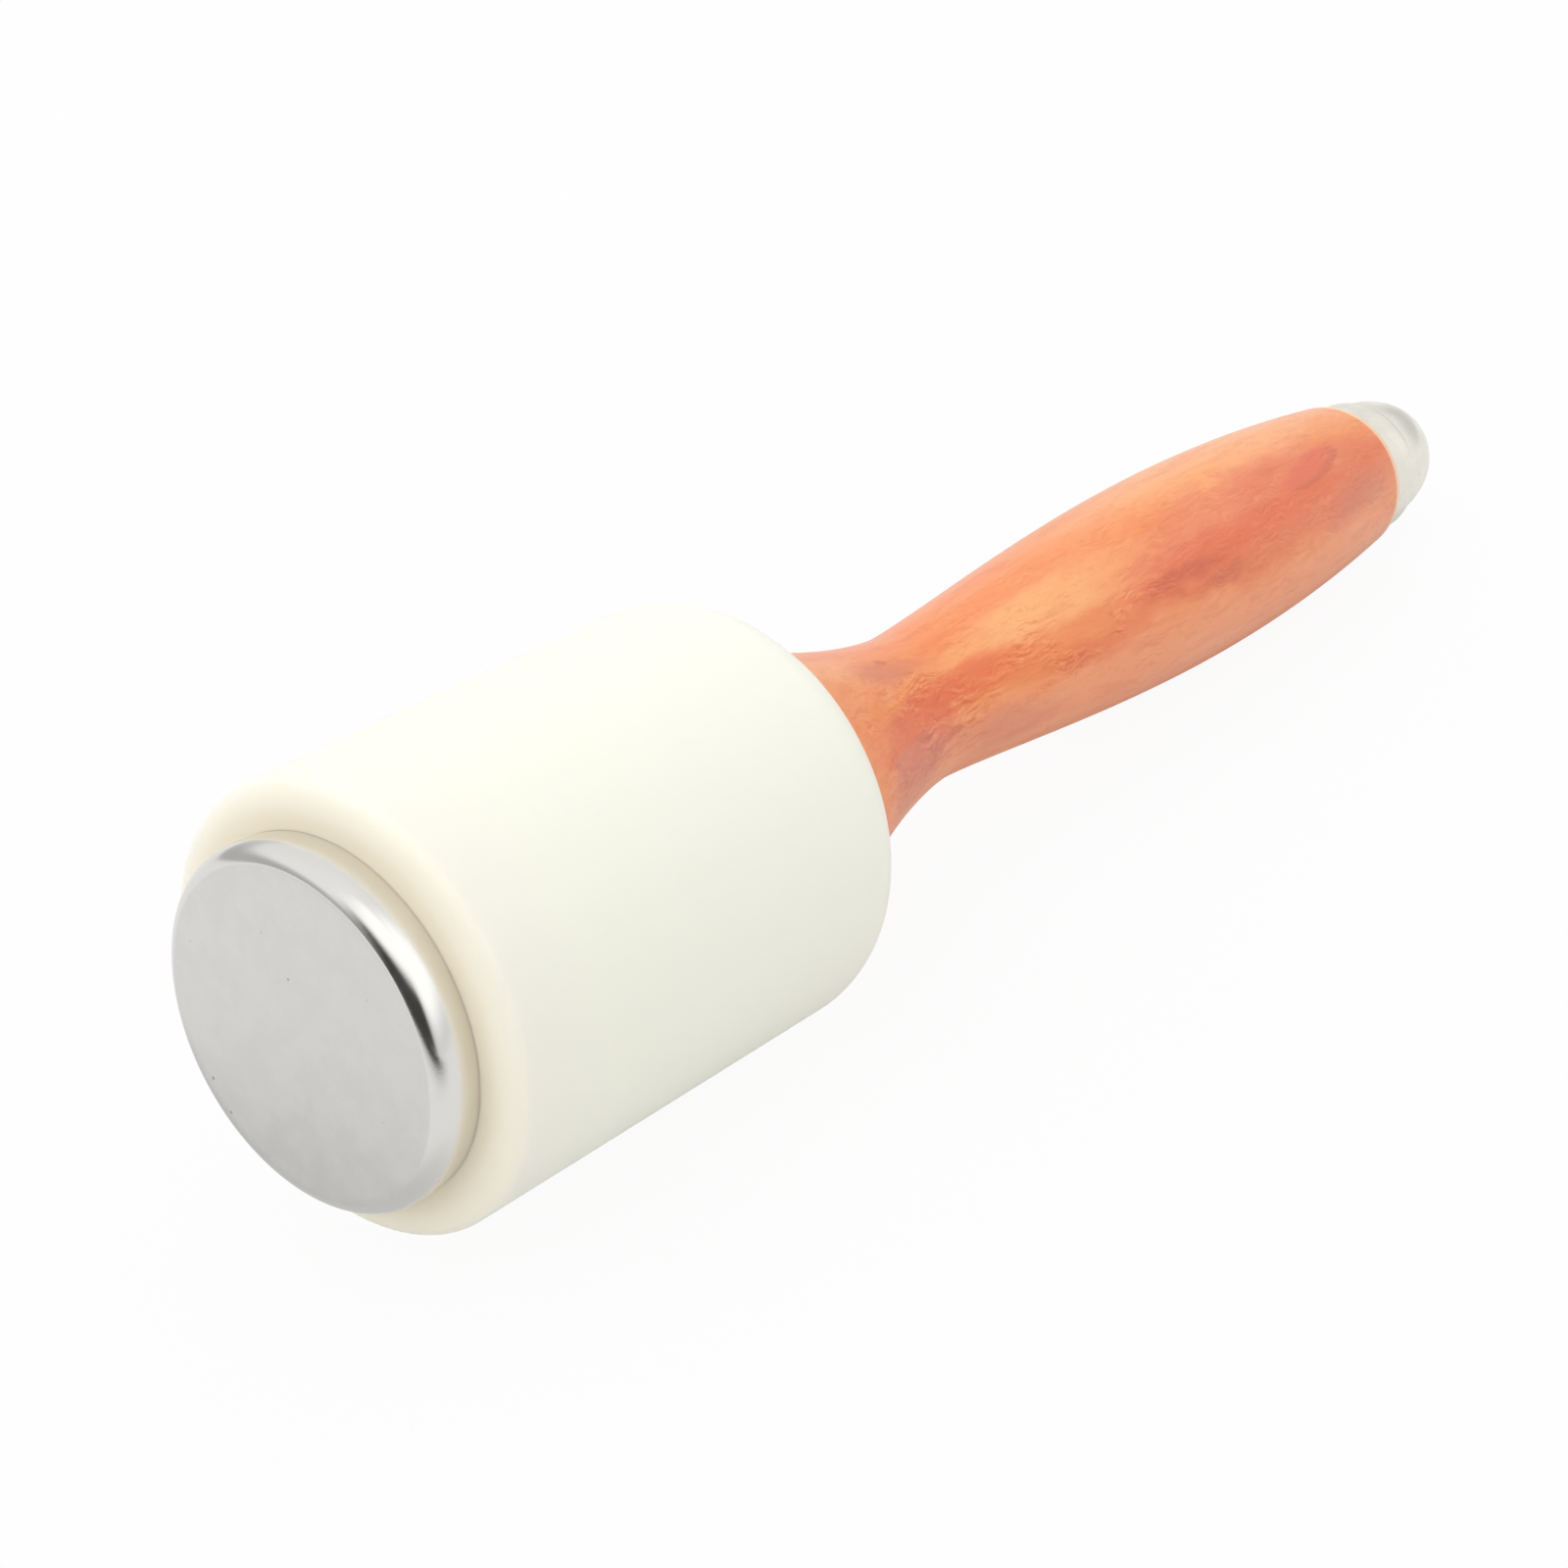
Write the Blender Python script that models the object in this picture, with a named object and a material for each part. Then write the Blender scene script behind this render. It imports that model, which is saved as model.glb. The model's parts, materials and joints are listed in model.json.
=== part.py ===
"""Leathercraft mallet: a nylon head with an aluminium face cap on a turned wooden handle.

A steel rod runs through the handle and the head. A nut and a washer in the head's counterbore hold the
head to the handle, the face cap screws on over them, and a domed nut on a collar closes the butt.

The pieces are turned about the mallet's own axis, local X: the flat face is at x = 0 and the butt is at the
far end. An empty then lays that axis down, so that the head's rear edge and the grip both touch z = 0.
All sizes are in metres.
"""
import math

import bmesh
import bpy
from mathutils import Matrix, Vector

# Clearance between pieces that seat on, or fit in, one another
GAP = 0.0003

# Face cap: the flat face, its rounded rim, the slightly barrelled side, and the spigot that screws on the rod
CAP_RADIUS = 0.0201
CAP_HEIGHT = 0.0050
CAP_RIM_REACH = 0.0018
CAP_RIM_DROP = 0.0029
CAP_RIM_POWER = 2.5
CAP_SEAT_DROP = 0.00025
CAP_WALL = 0.0065
SPIGOT_LENGTH = 0.0113

# Nylon head: radii at its two ends, and how far its corners are rounded along and across the axis
HEAD_LENGTH = 0.0629
HEAD_RADIUS = 0.0250
HEAD_REAR_RADIUS = 0.02535
HEAD_FRONT_REACH = 0.0019
HEAD_FRONT_DROP = 0.0038
HEAD_REAR_ROUND = 0.0066
COUNTERBORE_RADIUS = 0.0123
SOCKET_RADIUS = 0.0123

# Fastenings
ROD_RADIUS = 0.0040
ROD_CHAMFER = 0.0008
NUT_ACROSS_FLATS = 0.0130
NUT_HEIGHT = 0.0065
NUT_CHAMFER = 0.0006
WASHER_THICKNESS = 0.0016

# Handle: radii at the flare, neck, swell and end, and the places of neck and swell behind the head
HANDLE_LENGTH = 0.1379
TENON_LENGTH = 0.0080
FLARE_RADIUS = 0.0185
FLARE_LIP = 0.0006
NECK_RADIUS = 0.0096
NECK_AT = 0.0320
SWELL_RADIUS = 0.0136
SWELL_AT = 0.0955
END_RADIUS = 0.0110
END_ROUND = 0.0010

# How the handle's outline bends: the trumpet of the flare, the rise to the swell, the fall to the end
FLARE_POWER = 1.6
GRIP_EASE = 0.72
TAIL_POWER = 2.0

# Butt collar and domed butt cap
COLLAR_RADIUS = 0.0100
COLLAR_LENGTH = 0.0061
COLLAR_ROUND = 0.0005
DOME_RADIUS = 0.0092
DOME_HEIGHT = 0.0134
DOME_POWER = 2.3
DOME_HOLE_DEPTH = 0.0085

# Flat sides round the axis: broad ones on the pieces that lie on the floor, so that the mallet doesn't roll
FLOOR_SIDES = 32
FINE_SIDES = 48

# Radii of what fits in a bore, and of the bores round the rod
BORE_RADIUS = ROD_RADIUS + GAP
SPIGOT_RADIUS = COUNTERBORE_RADIUS - GAP
WASHER_RADIUS = COUNTERBORE_RADIUS - GAP
TENON_RADIUS = SOCKET_RADIUS - GAP

# Places along the axis, each worked out from its neighbour's
HEAD_FRONT = CAP_HEIGHT + GAP
SPIGOT_END = CAP_HEIGHT + SPIGOT_LENGTH
NUT_FRONT = SPIGOT_END + GAP
NUT_BACK = NUT_FRONT + NUT_HEIGHT
WASHER_FRONT = NUT_BACK + GAP
WASHER_BACK = WASHER_FRONT + WASHER_THICKNESS
COUNTERBORE_FLOOR = WASHER_BACK + GAP
HEAD_BACK = HEAD_FRONT + HEAD_LENGTH
HANDLE_FRONT = HEAD_BACK + GAP
TENON_TIP = HANDLE_FRONT - TENON_LENGTH
SOCKET_FLOOR = TENON_TIP - GAP
HANDLE_BACK = HANDLE_FRONT + HANDLE_LENGTH
COLLAR_FRONT = HANDLE_BACK + GAP
COLLAR_BACK = COLLAR_FRONT + COLLAR_LENGTH
DOME_FRONT = COLLAR_BACK + GAP
DOME_TIP = DOME_FRONT + DOME_HEIGHT
DOME_HOLE_FLOOR = DOME_FRONT + DOME_HOLE_DEPTH
ROD_FRONT = CAP_WALL + GAP
ROD_BACK = DOME_HOLE_FLOOR - GAP

# Steepest lie of the axis that is searched for, and the angle past which an edge is drawn sharp
STEEPEST_LIE = math.radians(40.0)
SHARP_EDGE = math.radians(30.0)


def clear_scene():
    """Remove whatever the file holds."""
    for obj in list(bpy.data.objects):
        bpy.data.objects.remove(obj, do_unlink=True)


def finish(name, colour, roughness, metallic=0.0, coat=0.0):
    """Make a Principled BSDF material.

    Args:
        name: Material name.
        colour: Linear red, green and blue.
        roughness: Surface roughness, 0 to 1.
        metallic: 1 for bare metal.
        coat: Weight of a clear lacquer.

    Returns:
        The material.
    """
    material = bpy.data.materials.new(name)
    material.use_nodes = True
    shader = material.node_tree.nodes["Principled BSDF"]
    shader.inputs["Base Color"].default_value = (*colour, 1.0)
    shader.inputs["Roughness"].default_value = roughness
    shader.inputs["Metallic"].default_value = metallic
    shader.inputs["Coat Weight"].default_value = coat
    return material


def quarter(start, end, steps, square_start, power=2.0):
    """Sample a quarter of a superellipse between two points of an outline.

    Args:
        start: The (x, radius) that the quarter leaves.
        end: The (x, radius) that it reaches.
        steps: Number of chords.
        square_start: True when the outline leaves its start square to the axis, and reaches its end along it.
        power: 2 for an ellipse, more for a squarer corner.

    Returns:
        The points after the start, the end included.
    """
    points = []
    for step in range(1, steps + 1):
        turn = 0.5 * math.pi * step / steps
        late = 1.0 - math.cos(turn) ** (2.0 / power)
        early = math.sin(turn) ** (2.0 / power)
        along, across = (late, early) if square_start else (early, late)
        points.append((start[0] + (end[0] - start[0]) * along, start[1] + (end[1] - start[1]) * across))
    return points


def turned(name, outline, sides, material, bored=True):
    """Turn an outline about the local X axis, with flat sides facing down, up and sideways.

    Args:
        name: Object name.
        outline: Points as (x, radius), in order.
        sides: Number of flat sides round the axis.
        material: Material of the piece.
        bored: True when the outline is a loop round a bore, False when its two ends are on the axis.

    Returns:
        The new object.
    """
    shape = bmesh.new()
    verts = [shape.verts.new((x, 0.0, radius)) for x, radius in outline]
    edges = [shape.edges.new(pair) for pair in zip(verts, verts[1:])]
    if bored:
        edges.append(shape.edges.new((verts[-1], verts[0])))
    bmesh.ops.spin(shape, geom=verts + edges, axis=(1.0, 0.0, 0.0), cent=(0.0, 0.0, 0.0),
                   angle=2.0 * math.pi, steps=sides, use_merge=True)
    bmesh.ops.remove_doubles(shape, verts=shape.verts, dist=1e-7)
    bmesh.ops.rotate(shape, verts=shape.verts, matrix=Matrix.Rotation(math.pi / sides, 3, "X"))
    return piece(name, shape, material)


def piece(name, shape, material):
    """Turn a finished bmesh into a smooth-shaded object.

    Args:
        name: Object name.
        shape: The bmesh, which is freed.
        material: Material of the piece.

    Returns:
        The new object, linked to the scene.
    """
    bmesh.ops.recalc_face_normals(shape, faces=shape.faces)
    mesh = bpy.data.meshes.new(name)
    shape.to_mesh(mesh)
    shape.free()
    mesh.materials.append(material)
    mesh.shade_smooth()
    mesh.set_sharp_from_angle(angle=SHARP_EDGE)
    obj = bpy.data.objects.new(name, mesh)
    bpy.context.scene.collection.objects.link(obj)
    return obj


def barrel(steps):
    """Sample the cap's side, which narrows a little from the rim to the back.

    Args:
        steps: Number of chords.

    Returns:
        The points after the rim, as (x, radius), the back edge included.
    """
    shares = [step / steps for step in range(1, steps + 1)]
    side = CAP_HEIGHT - CAP_RIM_REACH
    return [(CAP_RIM_REACH + side * share, CAP_RADIUS - CAP_SEAT_DROP * share ** 2) for share in shares]


def make_face_cap(aluminium):
    """Turn the face cap: flat face, rounded rim, barrelled side, spigot with a blind hole."""
    face_edge = (0.0, CAP_RADIUS - CAP_RIM_DROP)
    outline = [(0.0, 0.0), face_edge]
    outline += quarter(face_edge, (CAP_RIM_REACH, CAP_RADIUS), 12, square_start=True, power=CAP_RIM_POWER)
    outline += barrel(4)
    outline += [(CAP_HEIGHT, SPIGOT_RADIUS), (SPIGOT_END, SPIGOT_RADIUS)]
    outline += [(SPIGOT_END, BORE_RADIUS), (CAP_WALL, BORE_RADIUS), (CAP_WALL, 0.0)]
    return turned("face_cap", outline, FINE_SIDES, aluminium, bored=False)


def make_nylon_head(nylon):
    """Turn the head: counterbore in front, rounded corners, a slight taper and the handle's socket behind."""
    front_flat = (HEAD_FRONT, HEAD_RADIUS - HEAD_FRONT_DROP)
    rear_edge = (HEAD_BACK - HEAD_REAR_ROUND, HEAD_REAR_RADIUS)
    outline = [(HEAD_FRONT, COUNTERBORE_RADIUS), front_flat]
    outline += quarter(front_flat, (HEAD_FRONT + HEAD_FRONT_REACH, HEAD_RADIUS), 8, square_start=True)
    outline += [rear_edge]
    outline += quarter(rear_edge, (HEAD_BACK, HEAD_REAR_RADIUS - HEAD_REAR_ROUND), 12, square_start=False)
    outline += [(HEAD_BACK, SOCKET_RADIUS), (SOCKET_FLOOR, SOCKET_RADIUS), (SOCKET_FLOOR, BORE_RADIUS)]
    outline += [(COUNTERBORE_FLOOR, BORE_RADIUS), (COUNTERBORE_FLOOR, COUNTERBORE_RADIUS)]
    return turned("nylon_head", outline, FLOOR_SIDES, nylon)


def grip_radius(behind):
    """Give the handle's radius at a distance behind the head.

    Args:
        behind: Distance from the handle's shoulder, in metres.

    Returns:
        The radius, in metres.
    """
    if behind < NECK_AT:
        left = 1.0 - behind / NECK_AT
        return NECK_RADIUS + (FLARE_RADIUS - NECK_RADIUS) * left ** FLARE_POWER
    if behind < SWELL_AT:
        rise = ((behind - NECK_AT) / (SWELL_AT - NECK_AT)) ** GRIP_EASE
        return NECK_RADIUS + (SWELL_RADIUS - NECK_RADIUS) * rise * rise * (3.0 - 2.0 * rise)
    fall = (behind - SWELL_AT) / (HANDLE_LENGTH - SWELL_AT)
    return SWELL_RADIUS - (SWELL_RADIUS - END_RADIUS) * fall ** TAIL_POWER


def stretch(start, end, steps):
    """Sample the handle's outline between two distances behind the head.

    Args:
        start: First distance, which is left out.
        end: Last distance, which is included.
        steps: Number of chords.

    Returns:
        Points as (x, radius).
    """
    places = [start + (end - start) * step / steps for step in range(1, steps + 1)]
    return [(HANDLE_FRONT + place, grip_radius(place)) for place in places]


def make_handle(wood):
    """Turn the handle: tenon, flared shoulder, neck, swelling grip and rounded end, bored for the rod."""
    shoulder = (HANDLE_FRONT, grip_radius(FLARE_LIP) - FLARE_LIP)
    grip_end = HANDLE_LENGTH - END_ROUND
    outline = [(TENON_TIP, BORE_RADIUS), (TENON_TIP, TENON_RADIUS), (HANDLE_FRONT, TENON_RADIUS), shoulder]
    outline += quarter(shoulder, (HANDLE_FRONT + FLARE_LIP, grip_radius(FLARE_LIP)), 3, square_start=True)
    outline += stretch(FLARE_LIP, NECK_AT, 16)
    outline += stretch(NECK_AT, SWELL_AT, 18)
    outline += stretch(SWELL_AT, grip_end, 12)
    wood_end = (HANDLE_BACK, grip_radius(grip_end) - END_ROUND)
    outline += quarter(outline[-1], wood_end, 4, square_start=False)
    outline += [(HANDLE_BACK, BORE_RADIUS)]
    return turned("handle", outline, FLOOR_SIDES, wood)


def make_tie_rod(steel):
    """Turn the rod, chamfered at both ends, that reaches from the face cap to the butt cap."""
    outline = [(ROD_FRONT, 0.0), (ROD_FRONT, ROD_RADIUS - ROD_CHAMFER), (ROD_FRONT + ROD_CHAMFER, ROD_RADIUS)]
    outline += [(ROD_BACK - ROD_CHAMFER, ROD_RADIUS), (ROD_BACK, ROD_RADIUS - ROD_CHAMFER), (ROD_BACK, 0.0)]
    return turned("tie_rod", outline, FLOOR_SIDES, steel, bored=False)


def make_head_washer(steel):
    """Turn the washer that bears on the floor of the head's counterbore."""
    outline = [(WASHER_FRONT, BORE_RADIUS), (WASHER_FRONT, WASHER_RADIUS)]
    outline += [(WASHER_BACK, WASHER_RADIUS), (WASHER_BACK, BORE_RADIUS)]
    return turned("head_washer", outline, FLOOR_SIDES, steel)


def make_head_nut(steel):
    """Cut the hexagonal nut from a six-sided bar with a turned form that chamfers and bores it."""
    corner = NUT_ACROSS_FLATS / math.sqrt(3.0)
    crown = corner - NUT_CHAMFER * math.sqrt(3.0)
    outline = [(NUT_FRONT, BORE_RADIUS), (NUT_FRONT, crown), (NUT_FRONT + NUT_CHAMFER, corner + GAP)]
    outline += [(NUT_BACK - NUT_CHAMFER, corner + GAP), (NUT_BACK, crown), (NUT_BACK, BORE_RADIUS)]
    form = turned("nut_form", outline, FINE_SIDES, steel)
    form.hide_render = True
    form.display_type = "WIRE"
    bar = bmesh.new()
    bmesh.ops.create_cone(bar, cap_ends=True, segments=6, radius1=corner, radius2=corner,
                          depth=NUT_HEIGHT + 2.0 * GAP)
    bmesh.ops.rotate(bar, verts=bar.verts, matrix=Matrix.Rotation(math.radians(90.0), 3, "Y"))
    bmesh.ops.translate(bar, verts=bar.verts, vec=(0.5 * (NUT_FRONT + NUT_BACK), 0.0, 0.0))
    nut = piece("head_nut", bar, steel)
    cut = nut.modifiers.new("chamfer_and_bore", "BOOLEAN")
    cut.operation = "INTERSECT"
    cut.solver = "EXACT"
    cut.object = form
    return nut, form


def make_butt_collar(polished):
    """Turn the collar that bears on the end of the wood."""
    front_edge = (COLLAR_FRONT, COLLAR_RADIUS - COLLAR_ROUND)
    back_edge = (COLLAR_BACK - COLLAR_ROUND, COLLAR_RADIUS)
    outline = [(COLLAR_FRONT, BORE_RADIUS), front_edge]
    outline += quarter(front_edge, (COLLAR_FRONT + COLLAR_ROUND, COLLAR_RADIUS), 3, square_start=True)
    outline += [back_edge]
    outline += quarter(back_edge, (COLLAR_BACK, COLLAR_RADIUS - COLLAR_ROUND), 3, square_start=False)
    outline += [(COLLAR_BACK, BORE_RADIUS)]
    return turned("butt_collar", outline, FINE_SIDES, polished)


def make_butt_cap(polished):
    """Turn the domed nut, with its blind hole for the rod."""
    base = (DOME_FRONT, DOME_RADIUS)
    outline = [(DOME_HOLE_FLOOR, 0.0), (DOME_HOLE_FLOOR, BORE_RADIUS), (DOME_FRONT, BORE_RADIUS), base]
    outline += quarter(base, (DOME_TIP, 0.0), 16, square_start=False, power=DOME_POWER)
    return turned("butt_cap", outline, FINE_SIDES, polished, bored=False)


def corners(pieces):
    """Return the points of the given pieces' meshes, in the mallet's own frame."""
    return [vertex.co for obj in pieces for vertex in obj.data.vertices]


def lowest(points, lie):
    """Give the height of the lowest point once the axis slopes down towards the butt.

    Args:
        points: Points in the mallet's own frame.
        lie: Slope of the axis, in radians.

    Returns:
        The height, in metres, relative to the middle of the face.
    """
    return min(point.z * math.cos(lie) - point.x * math.sin(lie) for point in points)


def resting_lie(head, grip):
    """Find the slope at which the head and the grip touch the floor together.

    Args:
        head: Points of the head.
        grip: Points of the handle and the butt.

    Returns:
        The slope of the axis, in radians.
    """
    flat, steep = 0.0, STEEPEST_LIE
    for _ in range(50):
        middle = 0.5 * (flat + steep)
        if lowest(grip, middle) > lowest(head, middle):
            flat = middle
        else:
            steep = middle
    return middle


def lay_down(head_pieces, grip_pieces, others):
    """Parent every piece to an empty that lays the mallet on the floor, centred on the origin.

    Args:
        head_pieces: Pieces at the striking end that can touch the floor.
        grip_pieces: Pieces of the handle and the butt that can touch it.
        others: Pieces held inside them.
    """
    lie = resting_lie(corners(head_pieces), corners(grip_pieces))
    turn = Matrix.Rotation(lie, 4, "Y")
    outside = [turn @ point for point in corners(head_pieces + grip_pieces)]
    low = Vector([min(point[axis] for point in outside) for axis in range(3)])
    high = Vector([max(point[axis] for point in outside) for axis in range(3)])
    rest = bpy.data.objects.new("mallet_axis", None)
    bpy.context.scene.collection.objects.link(rest)
    rest.rotation_euler = (0.0, lie, 0.0)
    rest.location = (-0.5 * (low.x + high.x), -0.5 * (low.y + high.y), -low.z)
    for obj in head_pieces + grip_pieces + others:
        obj.parent = rest


def main():
    """Build the mallet."""
    clear_scene()
    aluminium = finish("turned_aluminium", (0.62, 0.61, 0.59), 0.32, metallic=1.0)
    nylon = finish("white_nylon", (0.84, 0.82, 0.74), 0.38)
    wood = finish("lacquered_wood", (0.82, 0.32, 0.15), 0.35, coat=0.5)
    steel = finish("zinc_steel", (0.55, 0.56, 0.58), 0.38, metallic=1.0)
    polished = finish("polished_steel", (0.74, 0.73, 0.70), 0.18, metallic=1.0)
    nut, nut_form = make_head_nut(steel)
    head_pieces = [make_face_cap(aluminium), make_nylon_head(nylon)]
    grip_pieces = [make_handle(wood), make_butt_collar(polished), make_butt_cap(polished)]
    others = [make_tie_rod(steel), make_head_washer(steel), nut, nut_form]
    lay_down(head_pieces, grip_pieces, others)


if __name__ == "__main__":
    main()
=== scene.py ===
"""Looks of the leather mallet: a nylon head, an aluminium face cap and a stained wooden handle.

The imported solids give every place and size. Each visible piece is turned again here as a fine mesh about
the same axis, with the edges, seams and finishes of the real one. All sizes are in metres.
"""

import json
import logging
import math
from collections.abc import Callable, Sequence
from dataclasses import dataclass
from enum import Enum

import bmesh
import bpy
from mathutils import Matrix, Vector


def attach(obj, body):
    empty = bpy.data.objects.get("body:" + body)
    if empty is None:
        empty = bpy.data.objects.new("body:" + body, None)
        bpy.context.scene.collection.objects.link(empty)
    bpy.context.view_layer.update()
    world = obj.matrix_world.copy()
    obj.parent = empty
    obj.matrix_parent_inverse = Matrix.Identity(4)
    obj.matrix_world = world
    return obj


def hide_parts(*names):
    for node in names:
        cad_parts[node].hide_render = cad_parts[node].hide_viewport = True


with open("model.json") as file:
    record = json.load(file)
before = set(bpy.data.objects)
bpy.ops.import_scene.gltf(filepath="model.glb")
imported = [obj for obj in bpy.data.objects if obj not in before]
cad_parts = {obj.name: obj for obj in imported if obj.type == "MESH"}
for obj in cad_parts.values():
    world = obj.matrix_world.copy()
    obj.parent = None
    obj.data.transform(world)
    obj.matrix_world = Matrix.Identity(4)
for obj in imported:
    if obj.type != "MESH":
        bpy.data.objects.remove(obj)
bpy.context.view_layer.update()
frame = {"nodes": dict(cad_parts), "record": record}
BODY = "root"
REPORT = logging.getLogger("mallet")

Colour = tuple[float, float, float]
Place = tuple[float, float, float]
Point = tuple[float, float]


class Leaves(Enum):
    """How a rounded corner leaves the point before it."""

    SQUARE = "square to the axis"
    ALONG = "along the axis"


class Core(Enum):
    """What an outline turns round."""

    BORED = "a loop round a bore"
    SOLID = "two ends on the axis"


class Edge(Enum):
    """How far the edge of a stain wanders, as a share of the loosest."""

    LOOSE = 1.0
    TIGHT = 0.3


class Tone(Enum):
    """Colours, as linear light, that the stain takes where the wood drank more or less of it."""

    # CREAM is used for the painted highlight along the end of the handle.
    CREAM = (0.960, 0.780, 0.500)
    STRAW = (0.935, 0.420, 0.150)
    PEACH = (0.895, 0.300, 0.110)
    AMBER = (0.875, 0.262, 0.070)
    ORANGE = (0.840, 0.200, 0.048)
    RUST = (0.780, 0.145, 0.035)
    BRICK = (0.620, 0.105, 0.040)
    CORAL = (0.790, 0.155, 0.070)
    ROSE = (0.790, 0.185, 0.076)
    SMOKE = (0.620, 0.175, 0.100)
    TAN = (0.900, 0.340, 0.160)


@dataclass(frozen=True)
class Reach:
    """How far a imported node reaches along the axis, and the radius of its widest point."""

    start: float
    end: float
    radius: float


@dataclass(frozen=True)
class MalletAxis:
    """The line that every piece is turned about, from the middle of the face to the butt."""

    origin: Vector
    direction: Vector

    @classmethod
    def of_record(cls, record: dict) -> "MalletAxis":
        """Read the axis from the striking face's mount.

        Args:
            record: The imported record.

        Returns:
            The axis.
        """
        face = next(mount for mount in record["mounts"] if mount["name"] == "striking_face")
        return cls(Vector(face["pos_m"]), -Vector(face["axis"]).normalized())

    def matrix(self) -> Matrix:
        """Give the transform that lays local X on the axis, with local Y level.

        Returns:
            The transform, as a 4 by 4 matrix.
        """
        level = Vector((0.0, 1.0, 0.0))
        turn = Matrix((self.direction, level, self.direction.cross(level))).transposed()
        return Matrix.Translation(self.origin) @ turn.to_4x4()

    def reach(self, node: str) -> Reach:
        """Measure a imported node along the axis.

        Args:
            node: Name of the node.

        Returns:
            Its reach.
        """
        back = self.matrix().inverted()
        places = [back @ vertex.co for vertex in frame["nodes"][node].data.vertices]
        along = [place.x for place in places]
        return Reach(min(along), max(along), max(math.hypot(place.y, place.z) for place in places))


class Outline:
    """A turned outline, as points of distance along the axis and radius."""

    def __init__(self, x: float, radius: float) -> None:
        """Start the outline at a point."""
        self.points: list[Point] = [(x, radius)]

    def line(self, x: float, radius: float, steps: int = 1) -> "Outline":
        """Draw a straight stretch.

        Args:
            x: Distance along the axis at its end.
            radius: Radius at its end.
            steps: Number of chords.

        Returns:
            The outline.
        """
        x0, radius0 = self.points[-1]
        for step in range(1, steps + 1):
            share = step / steps
            self.points.append((x0 + (x - x0) * share, radius0 + (radius - radius0) * share))
        return self

    def corner(self, x: float, radius: float, leaves: Leaves, steps: int = 12, power: float = 2.0,
               lean: float = 0.0) -> "Outline":
        """Draw a rounded corner, a quarter of a superellipse.

        Args:
            x: Distance along the axis at its end.
            radius: Radius at its end.
            leaves: Which way the corner leaves the last point.
            steps: Number of chords.
            power: 2 for an ellipse, more for a squarer corner.
            lean: How steeply the whole corner leans along the axis, so that it starts with a crease.

        Returns:
            The outline.
        """
        x0, radius0 = self.points[-1]
        x -= lean * (radius - radius0)
        for step in range(1, steps + 1):
            turn = 0.5 * math.pi * step / steps
            late = 1.0 - math.cos(turn) ** (2.0 / power)
            early = math.sin(turn) ** (2.0 / power)
            along, across = (late, early) if leaves is Leaves.SQUARE else (early, late)
            out = (radius - radius0) * across
            self.points.append((x0 + (x - x0) * along + lean * out, radius0 + out))
        return self

    def follow(self, radius_at: Callable[[float], float], end: float, steps: int) -> "Outline":
        """Follow a formula to a distance along the axis.

        Args:
            radius_at: Gives the radius at a distance along the axis.
            end: Distance along the axis at the end.
            steps: Number of chords.

        Returns:
            The outline.
        """
        start = self.points[-1][0]
        for step in range(1, steps + 1):
            x = start + (end - start) * step / steps
            self.points.append((x, radius_at(x)))
        return self


def stand(name: str, data: bpy.types.ID) -> bpy.types.Object:
    """Add an object to the scene.

    Args:
        name: Name of the object.
        data: Its mesh, light or camera.

    Returns:
        The object.
    """
    obj = bpy.data.objects.new(name, data)
    bpy.context.scene.collection.objects.link(obj)
    return obj


def aim(obj: bpy.types.Object, place: Place, target: Place) -> None:
    """Put an object at a place, looking at a target."""
    obj.location = place
    obj.rotation_euler = (Vector(target) - Vector(place)).to_track_quat("-Z", "Y").to_euler()


@dataclass(frozen=True)
class Lathe:
    """Turns outlines into smooth meshes that lie on the mallet's axis."""

    axis: MalletAxis
    sides: int = 224
    sharp_angle: float = math.radians(35.0)

    def turn(self, name: str, outline: Outline, core: Core) -> bpy.types.Object:
        """Turn an outline about the axis.

        Args:
            name: Name of the piece.
            outline: The outline.
            core: What it turns round.

        Returns:
            The new object.
        """
        shape = bmesh.new()
        verts = [shape.verts.new((x, radius, 0.0)) for x, radius in outline.points]
        edges = [shape.edges.new(pair) for pair in zip(verts, verts[1:])]
        if core is Core.BORED:
            edges.append(shape.edges.new((verts[-1], verts[0])))
        bmesh.ops.spin(shape, geom=verts + edges, axis=(1.0, 0.0, 0.0), cent=(0.0, 0.0, 0.0),
                       angle=2.0 * math.pi, steps=self.sides, use_merge=True)
        bmesh.ops.remove_doubles(shape, verts=shape.verts, dist=1e-7)
        return self.piece(name, shape)

    def piece(self, name: str, shape: bmesh.types.BMesh) -> bpy.types.Object:
        """Lay a finished shape on the axis, with its place in its mesh.

        Args:
            name: Name of the piece.
            shape: The shape in the axis's own frame, which is freed.

        Returns:
            The new object.
        """
        bmesh.ops.recalc_face_normals(shape, faces=shape.faces)
        mesh = bpy.data.meshes.new(name)
        shape.to_mesh(mesh)
        shape.free()
        mesh.transform(self.axis.matrix())
        mesh.shade_smooth()
        mesh.set_sharp_from_angle(angle=self.sharp_angle)
        return stand(name, mesh)


def dress(obj: bpy.types.Object, material: bpy.types.Material, node: str) -> None:
    """Give a piece its material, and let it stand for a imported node.

    Args:
        obj: The piece.
        material: Its material.
        node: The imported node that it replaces.
    """
    obj.data.materials.append(material)
    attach(obj, BODY)
    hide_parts(node)


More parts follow.
